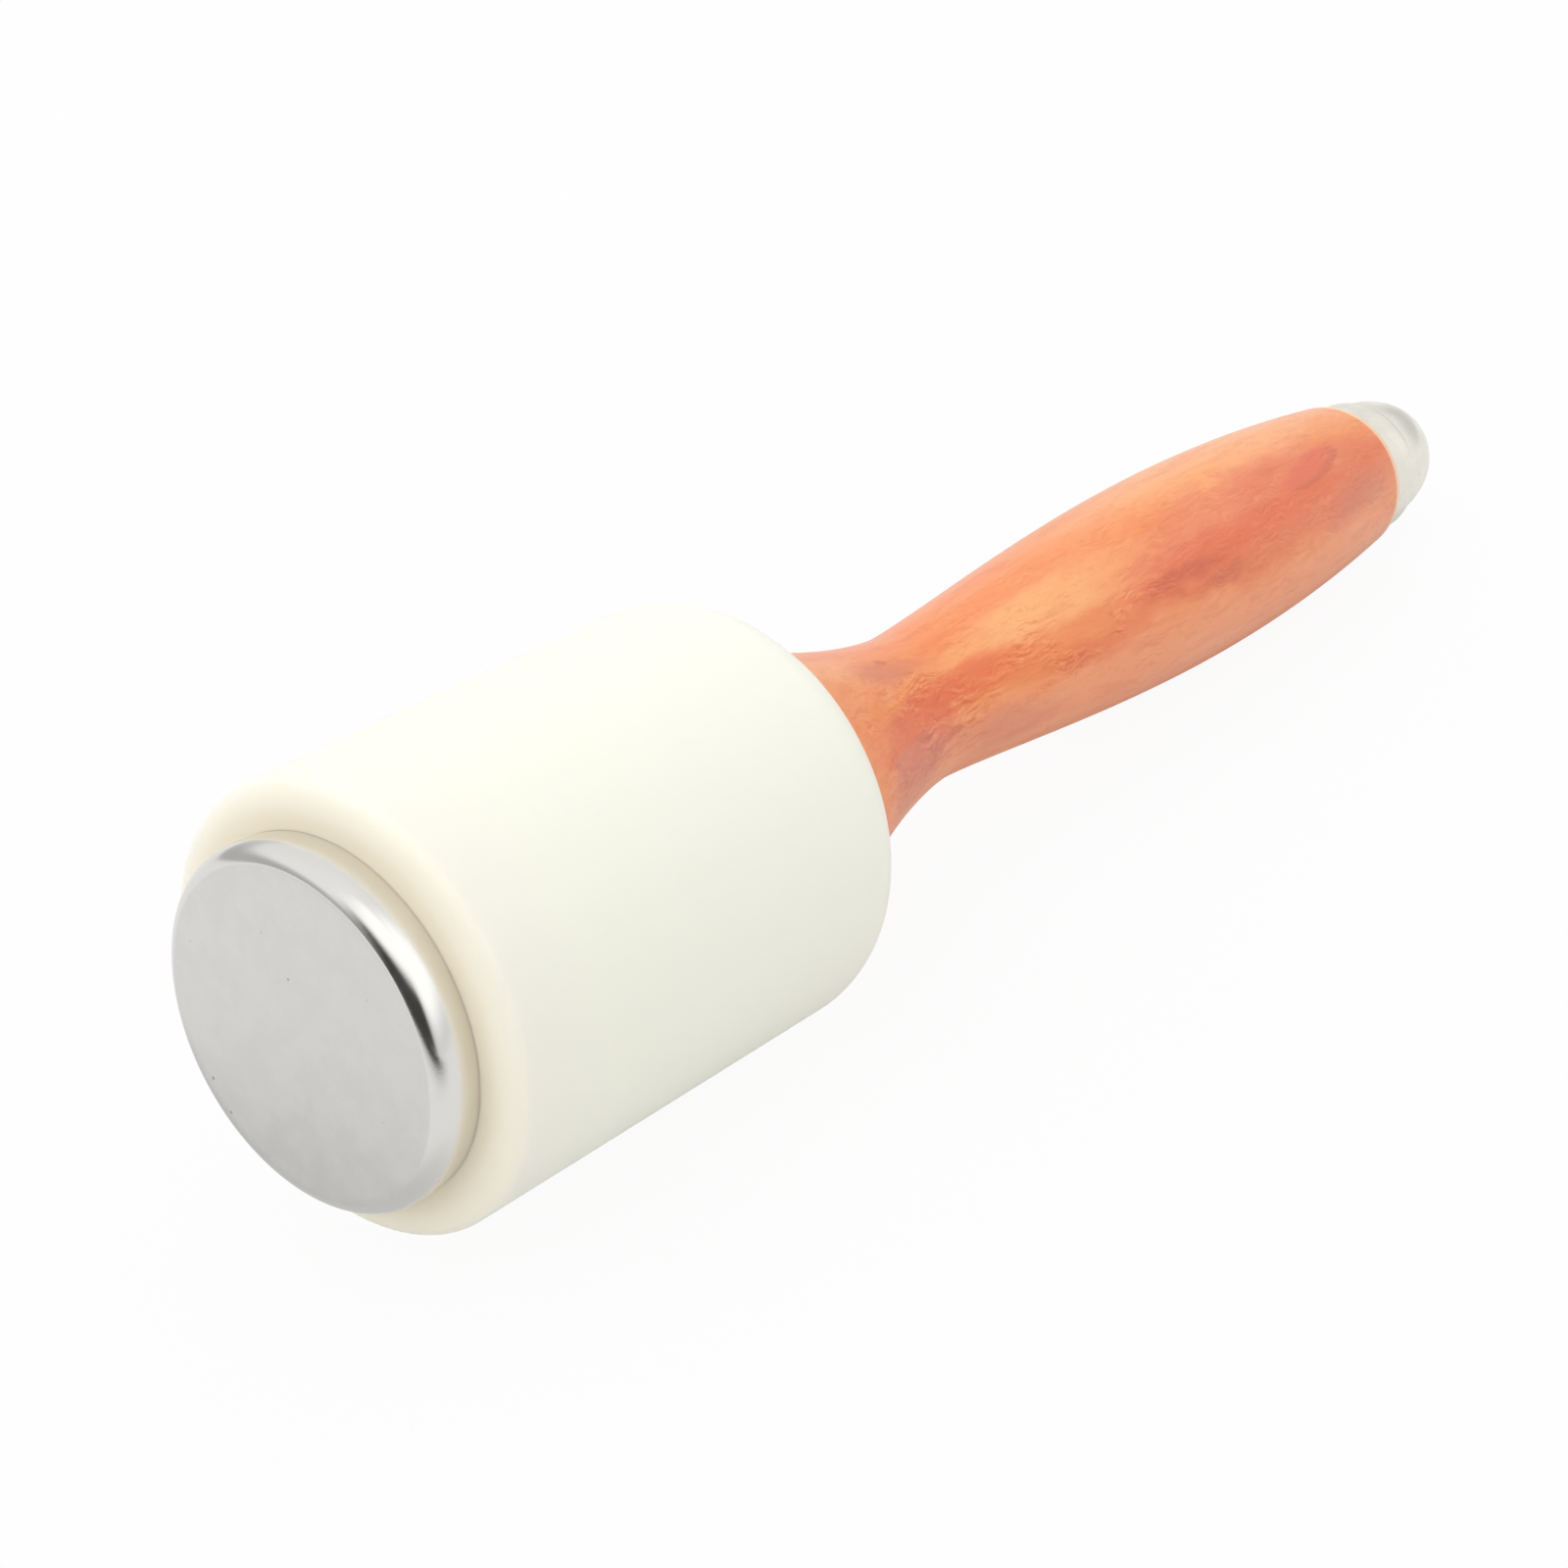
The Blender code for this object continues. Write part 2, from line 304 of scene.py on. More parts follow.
class Graph:
    """Adds shader nodes to a node tree, and links them."""

    def __init__(self, tree: bpy.types.NodeTree) -> None:
        """Keep the tree that nodes are added to."""
        self.tree = tree

    @classmethod
    def of_material(cls, name: str) -> tuple["Graph", bpy.types.Material, bpy.types.Node]:
        """Make a material with a Principled BSDF.

        Args:
            name: Name of the material.

        Returns:
            Its graph, the material and the shader node.
        """
        material = bpy.data.materials.new(name)
        material.use_nodes = True
        return cls(material.node_tree), material, material.node_tree.nodes["Principled BSDF"]

    def fill(self, node: bpy.types.Node, inputs: dict[int | str, object]) -> None:
        """Link sockets to a node's inputs, or set the inputs to values.

        Args:
            node: The node.
            inputs: Values or sockets for its inputs, by name or number.
        """
        for key, value in inputs.items():
            socket = node.inputs[key]
            if isinstance(value, bpy.types.NodeSocket):
                self.tree.links.new(value, socket)
            elif isinstance(value, tuple) and len(value) == 3 and len(socket.default_value) == 4:
                socket.default_value = (*value, 1.0)
            else:
                socket.default_value = value

    def add(self, kind: str, inputs: dict[int | str, object] | None = None,
            **settings: object) -> bpy.types.Node:
        """Add a node.

        Args:
            kind: Blender's name of the node type, without its ShaderNode prefix.
            inputs: Values or sockets for its inputs, by name or number.
            settings: Its other settings.

        Returns:
            The node.
        """
        node = self.tree.nodes.new("ShaderNode" + kind)
        for name, value in settings.items():
            setattr(node, name, value)
        self.fill(node, inputs or {})
        return node

    def math(self, operation: str, *values: object, clamp: bool = False) -> bpy.types.NodeSocket:
        """Work out a number from others.

        Args:
            operation: Name of the operation.
            values: Numbers or sockets.
            clamp: Whether the result is kept within 0 and 1.

        Returns:
            The result's socket.
        """
        return self.add("Math", dict(enumerate(values)), operation=operation, use_clamp=clamp).outputs[0]

    def vector(self, operation: str, *values: object) -> bpy.types.NodeSocket:
        """Work out a vector from others.

        Args:
            operation: Name of the operation.
            values: Vectors or sockets.

        Returns:
            The result's socket: a number for LENGTH and DOT_PRODUCT.
        """
        node = self.add("VectorMath", dict(enumerate(values)), operation=operation)
        return node.outputs["Value" if operation in ("LENGTH", "DOT_PRODUCT") else "Vector"]

    def noise(self, place: bpy.types.NodeSocket, size: float, stretch: float = 1.0, detail: float = 2.0,
              rough: float = 0.5) -> bpy.types.Node:
        """Add noise whose spots have a given size, drawn out along the axis.

        Args:
            place: Where it is read.
            size: Width of a spot, in metres.
            stretch: How many times longer than wide a spot is.
            detail: Octaves of finer noise.
            rough: How strong the finer noise is.

        Returns:
            The noise node.
        """
        drawn = self.vector("MULTIPLY", place, (1.0 / stretch, 1.0, 1.0))
        return self.add("TexNoise", {"Vector": drawn, "Scale": 1.0 / size, "Detail": detail,
                                     "Roughness": rough})

    def span(self, value: object, low: float, high: float, to_low: float = 0.0,
             to_high: float = 1.0) -> bpy.types.NodeSocket:
        """Ease a number from one range to another.

        Args:
            value: The number's socket.
            low: Where the first range starts.
            high: Where it ends.
            to_low: What low turns into.
            to_high: What high turns into.

        Returns:
            The result's socket.
        """
        return self.add("MapRange", {"Value": value, "From Min": low, "From Max": high, "To Min": to_low,
                                     "To Max": to_high}, interpolation_type="SMOOTHSTEP").outputs["Result"]

    def mix(self, share: object, first: object, second: object, blend: str = "MIX") -> bpy.types.NodeSocket:
        """Mix two colours.

        Args:
            share: How much of the second shows.
            first: First colour or socket.
            second: Second colour or socket.
            blend: Blender's name of the blend.

        Returns:
            The mixed colour's socket.
        """
        return self.add("Mix", {0: share, 6: first, 7: second}, data_type="RGBA", blend_type=blend,
                        clamp_factor=True).outputs[2]

    def between(self, share: object, first: object, second: object) -> bpy.types.NodeSocket:
        """Give the number that lies a share of the way from a first to a second."""
        return self.add("Mix", {0: share, 2: first, 3: second}).outputs[0]

    def ramp(self, value: object, stops: Sequence[tuple[float, Colour]]) -> bpy.types.NodeSocket:
        """Turn a number into a colour.

        Args:
            value: The number's socket.
            stops: Pairs of place and colour, in order.

        Returns:
            The colour's socket.
        """
        node = self.add("ValToRGB", {"Fac": value})
        ramp = node.color_ramp
        ramp.interpolation = "EASE"
        while len(ramp.elements) < len(stops):
            ramp.elements.new(1.0)
        for element, (place, colour) in zip(ramp.elements, stops):
            element.position = place
            element.color = (*colour, 1.0)
        return node.outputs["Color"]

    def place(self, axis: MalletAxis) -> bpy.types.NodeSocket:
        """Give the place on the piece, in the mallet's own frame.

        Args:
            axis: The mallet's axis.

        Returns:
            The place's socket, with X along the axis.
        """
        laid = {"Vector": self.add("TexCoord").outputs["Object"], "Location": axis.origin,
                "Rotation": axis.matrix().to_euler()}
        return self.add("Mapping", laid, vector_type="TEXTURE").outputs[0]

    def split(self, place: object) -> tuple[bpy.types.NodeSocket, ...]:
        """Split a vector into its three numbers."""
        parts = self.add("SeparateXYZ", {0: place}).outputs
        return parts[0], parts[1], parts[2]

    def radius(self, place: object) -> bpy.types.NodeSocket:
        """Give the distance from the mallet's axis."""
        return self.vector("LENGTH", self.vector("MULTIPLY", place, (0.0, 1.0, 1.0)))

    def bump(self, height: object, depth: float) -> bpy.types.NodeSocket:
        """Turn a height into a bumped normal, where a height of 1 measures a depth in metres."""
        return self.add("Bump", {"Height": height, "Distance": depth}).outputs["Normal"]

    def oval(self, where: object, middle: Point, half: Point, soft: float, share: float = 1.0,
             tilt: float = 0.0) -> bpy.types.NodeSocket:
        """Show where a soft-edged oval lies.

        Args:
            where: The place that is looked at.
            middle: Middle of the oval.
            half: Half its length and half its width, to the middle of its edge.
            soft: How far the edge fades to either side, as a share of its size.
            share: How much shows in its middle.
            tilt: How far it is turned, in degrees.

        Returns:
            How much of it shows.
        """
        spot = {"Vector": where, "Location": (*middle, 0.0), "Rotation": (0.0, 0.0, math.radians(tilt)),
                "Scale": (*half, 1.0)}
        away = self.vector("LENGTH", self.add("Mapping", spot, vector_type="TEXTURE").outputs[0])
        return self.span(away, 1.0 - soft, 1.0 + soft, share, 0.0)

    def rays(self) -> tuple[bpy.types.NodeSocket, bpy.types.NodeSocket]:
        """Tell apart what the camera sees and what metal and glass show of it.

        Returns:
            Whether a ray comes from the camera, and whether it comes from a mirror or from glass.
        """
        path = self.add("LightPath").outputs
        clear = self.math("MAXIMUM", path["Is Glossy Ray"], path["Is Transmission Ray"])
        return path["Is Camera Ray"], clear


@dataclass(frozen=True)
class Nick:
    """A small mark on the striking face."""

    sideways: float
    up: float
    size: float


@dataclass(frozen=True)
class TurnedAluminium:
    """Aluminium with a satin face and a polished, rounded rim."""

    face: Colour = (0.800, 0.784, 0.760)
    rim: Colour = (0.810, 0.795, 0.765)
    face_roughness: float = 0.34
    rim_roughness: float = 0.15
    rim_from: float = 0.0182
    rim_full: float = 0.0185
    mottle_size: float = 0.0042
    grit_size: float = 0.00022
    grit_depth: float = 0.000004
    specks_per_metre: float = 260.0
    nicks: tuple[Nick, ...] = (Nick(0.0012, 0.0062, 0.00022), Nick(0.0129, -0.0111, 0.00030),
                               Nick(0.0103, -0.0141, 0.00024))

    def material(self, axis: MalletAxis) -> bpy.types.Material:
        """Make the material.

        Args:
            axis: The mallet's axis.

        Returns:
            The material.
        """
        graph, material, shader = Graph.of_material("turned_aluminium")
        place = graph.place(axis)
        radius = graph.radius(place)
        polished = graph.span(radius, self.rim_from, self.rim_full)
        mottle = graph.noise(place, self.mottle_size, detail=4.0, rough=0.62).outputs["Fac"]
        grit = graph.noise(place, self.grit_size).outputs["Fac"]
        face = graph.mix(graph.span(mottle, 0.35, 0.65), self.darker(0.95), self.face)
        face = graph.mix(graph.span(grit, 0.25, 0.75, 0.06, 0.0), face, self.darker(0.7))
        face = graph.mix(self.marks(graph, place), face, self.darker(0.42))
        worn = graph.span(mottle, 0.3, 0.7, self.face_roughness - 0.03, self.face_roughness + 0.04)
        smooth = graph.span(mottle, 0.3, 0.7, self.rim_roughness - 0.02, self.rim_roughness + 0.03)
        graph.fill(shader, {"Base Color": graph.mix(polished, face, self.rim),
                            "Roughness": graph.between(polished, worn, smooth),
                            "Normal": graph.bump(grit, self.grit_depth), "Metallic": 1.0})
        return material

    def darker(self, share: float) -> Colour:
        """Give the face's colour, darkened to a share of it."""
        return tuple(part * share for part in self.face)

    def marks(self, graph: Graph, place: bpy.types.NodeSocket) -> bpy.types.NodeSocket:
        """Draw the nicks and a few specks of the casting.

        Args:
            graph: The material's graph.
            place: The place on the piece.

        Returns:
            How much a nick shows, 0 to 1.
        """
        cells = graph.add("TexVoronoi", {"Vector": place, "Scale": self.specks_per_metre})
        chosen = graph.span(graph.split(cells.outputs["Color"])[0], 0.90, 0.92)
        speck = graph.span(cells.outputs["Distance"], 0.02, 0.06, 0.35, 0.0)
        shown = graph.math("MULTIPLY", chosen, speck)
        for nick in self.nicks:
            away = graph.vector("SUBTRACT", place, (0.0, nick.sideways, nick.up))
            dot = graph.span(graph.vector("LENGTH", away), 0.4 * nick.size, nick.size, 0.75, 0.0)
            shown = graph.math("MAXIMUM", shown, dot)
        return shown


@dataclass(frozen=True)
class MilkyNylon:
    """Cast nylon: milky and slightly translucent, with a painted amber glow and shade round the face cap."""

    # painted_glow_amber, painted_glow_from and painted_glow_full paint an amber glow and shade on the front,
    # round the face cap.
    painted_glow_amber: Colour = (0.985, 0.828, 0.660)
    # glow: the painted glow tint where the front of the head meets the face cap.
    glow: Colour = (0.955, 0.855, 0.725)
    cream: Colour = (0.930, 0.893, 0.805)
    milk: Colour = (0.950, 0.922, 0.810)
    warm: Colour = (0.995, 0.972, 0.815)
    painted_glow_from: float = 0.0250
    painted_glow_full: float = 0.0198
    cloud_size: float = 0.022
    cloud_drift: float = 0.006
    fine_size: float = 0.0011
    fine_depth: float = 0.000006
    roughness: float = 0.42
    scatter: Colour = (1.0, 0.95, 0.90)
    depth: float = 0.0005
    refraction: float = 1.53

    def material(self, axis: MalletAxis, head: Reach) -> bpy.types.Material:
        """Make the material.

        Args:
            axis: The mallet's axis.
            head: The head's reach, which its tints follow.

        Returns:
            The material.
        """
        graph, material, shader = Graph.of_material("milky_nylon")
        place = graph.place(axis)
        cloud = graph.noise(place, self.cloud_size).outputs["Fac"]
        along = graph.math("SUBTRACT", graph.split(place)[0], head.start)
        drift = graph.math("MULTIPLY_ADD", cloud, self.cloud_drift, along)
        share = graph.math("DIVIDE", drift, head.end - head.start, clamp=True)
        # The first stop paints the glow near the front of the head.
        stops = ((0.02, self.glow), (0.09, self.cream), (0.30, self.milk), (0.62, self.warm))
        tint = graph.ramp(share, stops)
        # Painted amber glow and shade round the face cap: strongest next to it, fading outwards.
        glow = graph.span(graph.radius(place), self.painted_glow_full, self.painted_glow_from, 1.0, 0.0)
        fine = graph.noise(place, self.fine_size, detail=3.0).outputs["Fac"]
        rough = graph.span(fine, 0.3, 0.7, self.roughness - 0.04, self.roughness + 0.04)
        graph.fill(shader, {"Base Color": graph.mix(glow, tint, self.painted_glow_amber), "Roughness": rough,
                            "Normal": graph.bump(fine, self.fine_depth), "Subsurface Weight": 1.0,
                            "Subsurface Radius": self.scatter, "Subsurface Scale": self.depth,
                            "IOR": self.refraction})
        return material


@dataclass(frozen=True)
class Stain:
    """A soft patch of the stain on the handle; a few also paint a highlight.

    The patch lies behind the head by a distance, and round the axis by an angle from the side that faces
    sideways and up. Its length and width are from its middle to its edge.
    """

    tone: Tone
    behind: float
    turn: float
    length: float
    width: float
    share: float
    tilt: float = 0.0
    soft: float = 0.60
    edge: Edge = Edge.LOOSE


@dataclass(frozen=True)
class StainedWood:
    """Wood with a swirling figure, unevenly stained from straw to brick, under a clear lacquer, with painted
    highlights and shade in some of its patches and marks.

    The stains' edges wander in waves, each given by its size and how far it goes along and across.
    """

    stains_and_painted_highlights: tuple[Stain, ...]
    face_up: float = math.radians(135.0)
    mean_radius: float = 0.012
    grain_size: float = 0.0042
    grain_depth: float = 0.00003
    grain_swirl: float = 0.016
    grain_bend: float = 0.004
    blotch_size: float = 0.0130
    curl_size: float = 0.0030
    curl_bend: float = 0.0034
    stroke_size: float = 0.0008
    # How far apart the two copies of each stroke lie, which sets the painted relief shading.
    painted_relief_offset: float = 0.00014
    patch_size: float = 0.0048
    streak_size: float = 0.0016
    pore_size: float = 0.00042
    wanders: tuple[Place, ...] = ((0.0065, 0.0095, 0.0040), (0.0017, 0.0046, 0.0019))
    lacquer: float = 0.5
    lacquer_roughness: float = 0.22
    # Width of the painted cream highlight along the rounded end of the wood.
    painted_highlight_rim: float = 0.0014
    curls: Stain = Stain(Tone.BRICK, 0.0380, 10.0, 0.0310, 28.0, 0.55, 0.0, 0.50)

    def material(self, axis: MalletAxis, handle: Reach) -> bpy.types.Material:
        """Make the material.

        Args:
            axis: The mallet's axis.
            handle: The handle's reach, which its stains are placed from.

        Returns:
            The material.
        """
        graph, material, shader = Graph.of_material("stained_wood")
        place = graph.place(axis)
        swirled = self.swirled(graph, place, self.grain_swirl, self.grain_bend)
        grain = graph.noise(swirled, self.grain_size, stretch=6.0, detail=3.0, rough=0.55).outputs["Fac"]
        blotch = graph.noise(place, self.blotch_size, stretch=2.4).outputs["Fac"]
        depth = graph.math("MULTIPLY_ADD", grain, 0.5, graph.math("MULTIPLY", blotch, 0.5))
        colour = graph.ramp(depth, ((0.34, Tone.STRAW.value), (0.47, Tone.PEACH.value),
                                    (0.56, Tone.AMBER.value), (0.68, Tone.ORANGE.value)))
        sheet = self.unrolled(graph, place, handle)
        sheets = {edge: self.wandered(graph, place, sheet, edge) for edge in Edge}
        for stain in self.stains_and_painted_highlights:
            colour = graph.mix(self.mask(graph, sheets[stain.edge], stain), colour, stain.tone.value)
        colour = self.figured(graph, place, sheets[Edge.LOOSE], colour)
        end = handle.end - handle.start
        # Painted cream highlight along the rounded end of the wood, next to the collar.
        painted_highlight = graph.span(graph.split(sheet)[0], end - 1.3 * self.painted_highlight_rim, end - self.painted_highlight_rim, 0.0, 0.65)
        graph.fill(shader, {"Base Color": graph.mix(painted_highlight, colour, Tone.CREAM.value),
                            "Roughness": graph.span(grain, 0.2, 0.8, 0.40, 0.52),
                            "Normal": graph.bump(grain, self.grain_depth), "Coat Weight": self.lacquer,
                            "Coat Roughness": self.lacquer_roughness})
        return material

    def swirled(self, graph: Graph, place: bpy.types.NodeSocket, size: float,
                amount: float) -> bpy.types.NodeSocket:
        """Bend places about, so that what is drawn there swirls.

        Args:
            graph: The material's graph.
            place: The places.
            size: Width of a swirl, in metres.
            amount: How far it bends, in metres.

        Returns:
            The bent places.
        """
        wander = graph.noise(place, size, stretch=2.0).outputs["Color"]
        return graph.vector("MULTIPLY_ADD", wander, (amount, amount, amount), place)

    def unrolled(self, graph: Graph, place: bpy.types.NodeSocket, handle: Reach) -> bpy.types.NodeSocket:
        """Unroll the handle into a sheet.

        Args:
            graph: The material's graph.
            place: The place on the piece.
            handle: The handle's reach.

        Returns:
            A vector of distance behind the head and distance round the axis, in metres.
        """
        x, sideways, up = graph.split(graph.add("VectorRotate", {"Vector": place, "Angle": -self.face_up},
                                                rotation_type="X_AXIS").outputs[0])
        angle = graph.math("ARCTAN2", up, sideways)
        across = graph.math("MULTIPLY", angle, self.mean_radius)
        return graph.add("CombineXYZ", {0: graph.math("SUBTRACT", x, handle.start), 1: across}).outputs[0]

    def wandered(self, graph: Graph, place: bpy.types.NodeSocket, sheet: bpy.types.NodeSocket,
                 edge: Edge) -> bpy.types.NodeSocket:
        """Move places on the unrolled handle about, so that the edges of the stains wander.

        Args:
            graph: The material's graph.
            place: The place on the piece.
            sheet: The place on the unrolled handle.
            edge: How far the edges wander.

        Returns:
            The moved place.
        """
        for size, along, across in self.wanders:
            noise = graph.noise(place, size, stretch=2.4).outputs["Color"]
            away = graph.vector("SUBTRACT", noise, (0.5, 0.5, 0.5))
            far = (along * edge.value, across * edge.value, 0.0)
            sheet = graph.vector("MULTIPLY_ADD", away, far, sheet)
        return sheet

    def mask(self, graph: Graph, sheet: bpy.types.NodeSocket, stain: Stain) -> bpy.types.NodeSocket:
        """Show where a stain lies.

        Args:
            graph: The material's graph.
            sheet: The place on the unrolled handle.
            stain: The stain.

        Returns:
            How much of the stain shows.
        """
        turn, width = (math.radians(angle) * self.mean_radius for angle in (stain.turn, stain.width))
        return graph.oval(sheet, (stain.behind, turn), (stain.length, width), stain.soft, stain.share,
                          stain.tilt)

    def figured(self, graph: Graph, place: bpy.types.NodeSocket, sheet: bpy.types.NodeSocket,
                colour: bpy.types.NodeSocket) -> bpy.types.NodeSocket:
        """Draw the fine figure: curly strokes with a painted highlight on one side and painted shade on the
        other, as if raised, then streaks and pores.

        Args:
            graph: The material's graph.
            place: The place on the piece.
            sheet: The place on the unrolled handle.
            colour: The stained colour.

        Returns:
            The figured colour.
        """
        curled = self.swirled(graph, place, self.curl_size, self.curl_bend)
        # Each stroke is read twice, a little apart; their difference paints the highlight and shade of a
        # raised stroke.
        beside = graph.vector("ADD", curled, (self.painted_relief_offset,) * 3)
        stroke, shade = (graph.noise(where, self.stroke_size, stretch=4.2, detail=3.0).outputs["Fac"]
                         for where in (curled, beside))
        painted_relief = graph.math("SUBTRACT", stroke, shade)
        patches = graph.noise(place, self.patch_size, stretch=1.8).outputs["Fac"]
        patches = graph.span(patches, 0.42, 0.60, 0.15, 1.0)
        depth = graph.math("MULTIPLY", patches, graph.math("ADD", self.mask(graph, sheet, self.curls), 0.34))
        # The dark side is the figure's dark mark and its painted shade.
        dark = graph.math("MULTIPLY", depth, graph.span(painted_relief, 0.01, 0.12, 0.0, 0.90))
        # The light side is a painted highlight.
        light = graph.math("MULTIPLY", depth, graph.span(painted_relief, -0.12, -0.01, 0.55, 0.0))
        colour = graph.mix(dark, colour, (0.82, 0.58, 0.46), "MULTIPLY")
        colour = graph.mix(light, colour, Tone.STRAW.value)
        streaks = graph.noise(curled, self.streak_size, stretch=8.0, detail=3.0, rough=0.6).outputs["Fac"]
        drawn = graph.span(streaks, 0.48, 0.66, 0.0, 0.60)
        colour = graph.mix(drawn, colour, (0.93, 0.80, 0.74), "MULTIPLY")
        pores = graph.noise(place, self.pore_size, stretch=9.0).outputs["Fac"]
        return graph.mix(graph.span(pores, 0.56, 0.72, 0.0, 0.25), colour, (0.82, 0.66, 0.60), "MULTIPLY")


@dataclass(frozen=True)
class PolishedSteel:
    """Bright steel of the collar and the domed nut, with the soft haze of handling."""

    colour: Colour = (0.930, 0.900, 0.810)
    roughness: float = 0.24
    haze_size: float = 0.0045
    fine_size: float = 0.0008
    fine_depth: float = 0.000001

    def material(self, axis: MalletAxis) -> bpy.types.Material:
        """Make the material.

        Args:
            axis: The mallet's axis.

        Returns:
            The material.
        """
        graph, material, shader = Graph.of_material("polished_steel")
        place = graph.place(axis)
        haze = graph.noise(place, self.haze_size, detail=3.0).outputs["Fac"]
        fine = graph.noise(place, self.fine_size).outputs["Fac"]
        dulled = tuple(part * 0.93 for part in self.colour)
        rough = graph.span(haze, 0.3, 0.7, self.roughness - 0.05, self.roughness + 0.08)
        graph.fill(shader, {"Base Color": graph.mix(graph.span(haze, 0.4, 0.65), self.colour, dulled),
                            "Roughness": rough, "Normal": graph.bump(fine, self.fine_depth),
                            "Metallic": 1.0})
        return material


@dataclass(frozen=True)
class ZincSteel:
    """Zinc-plated steel of the rod, nut and washer inside."""

    colour: Colour = (0.560, 0.570, 0.590)
    bloom_size: float = 0.0030
    drawn_size: float = 0.0004
    drawn_depth: float = 0.000006

    def material(self, axis: MalletAxis) -> bpy.types.Material:
        """Make the material.

        Args:
            axis: The mallet's axis.

        Returns:
            The material.
        """
        graph, material, shader = Graph.of_material("zinc_steel")
        place = graph.place(axis)
        bloom = graph.noise(place, self.bloom_size, detail=4.0, rough=0.6).outputs["Fac"]
        drawn = graph.noise(place, self.drawn_size, stretch=9.0).outputs["Fac"]
        warm = (self.colour[0], self.colour[1] * 0.98, self.colour[2] * 0.92)
        graph.fill(shader, {"Base Color": graph.mix(graph.span(bloom, 0.4, 0.62), self.colour, warm),
                            "Roughness": graph.span(bloom, 0.3, 0.7, 0.30, 0.46),
                            "Normal": graph.bump(drawn, self.drawn_depth), "Metallic": 1.0})
        return material


@dataclass(frozen=True)
class FaceCap:
    """The aluminium cap on the striking end: flat face, rounded rim, spigot with a blind hole."""

    lathe: Lathe
    rim_reach: float = 0.00255
    rim_drop: float = 0.0017
    rim_power: float = 2.5
    rim_lean: float = 0.39
    seat_drop: float = 0.00025
    spigot_radius: float = 0.0120
    bore_radius: float = 0.0043
    wall: float = 0.0065
    finish: TurnedAluminium = TurnedAluminium()

    def build(self) -> bpy.types.Object:
        """Turn the cap, so that its back meets the head.

        Returns:
            The piece.
        """
        reach = self.lathe.axis.reach("face_cap")
        seat = self.lathe.axis.reach("nylon_head").start

        def side_radius(x: float) -> float:
            """Give the radius of the barrelled side at a distance along the axis."""
            share = (x - self.rim_reach) / (seat - self.rim_reach)
            return reach.radius - self.seat_drop * share ** 2

        outline = Outline(0.0, 0.0).line(0.0, reach.radius - self.rim_drop, 16)
        outline.corner(self.rim_reach, reach.radius, Leaves.SQUARE, 40, self.rim_power, self.rim_lean)
        outline.follow(side_radius, seat, 8)
        outline.line(seat, self.spigot_radius).line(reach.end, self.spigot_radius, 6)
        outline.line(reach.end, self.bore_radius).line(self.wall, self.bore_radius, 6).line(self.wall, 0.0)
        piece = self.lathe.turn("face_cap_turned", outline, Core.SOLID)
        dress(piece, self.finish.material(self.lathe.axis), "face_cap")
        return piece


@dataclass(frozen=True)
class NylonHead:
    """The nylon head: a slightly tapered cylinder with rounded corners."""

    lathe: Lathe
    front_radius: float = 0.0250
    front_reach: float = 0.0019
    front_drop: float = 0.0038
    rear_round: float = 0.0066
    counterbore_radius: float = 0.0123
    counterbore_floor: float = 0.0253
    socket_radius: float = 0.0123
    socket_depth: float = 0.0083
    bore_radius: float = 0.0043
    finish: MilkyNylon = MilkyNylon()

    def build(self) -> bpy.types.Object:
        """Turn the head, with its counterbore in front and the handle's socket behind.

        Returns:
            The piece.
        """
        reach = self.lathe.axis.reach("nylon_head")
        socket_floor = reach.end - self.socket_depth
        outline = Outline(reach.start, self.counterbore_radius)
        outline.line(reach.start, self.front_radius - self.front_drop, 6)
        outline.corner(reach.start + self.front_reach, self.front_radius, Leaves.SQUARE, 18)
        outline.line(reach.end - self.rear_round, reach.radius, 36)
        outline.corner(reach.end, reach.radius - self.rear_round, Leaves.ALONG, 28)
        outline.line(reach.end, self.socket_radius, 4).line(socket_floor, self.socket_radius, 3)
        outline.line(socket_floor, self.bore_radius, 3).line(self.counterbore_floor, self.bore_radius, 12)
        outline.line(self.counterbore_floor, self.counterbore_radius, 3)
        piece = self.lathe.turn("nylon_head_cast", outline, Core.BORED)
        dress(piece, self.finish.material(self.lathe.axis, reach), "nylon_head")
        return piece


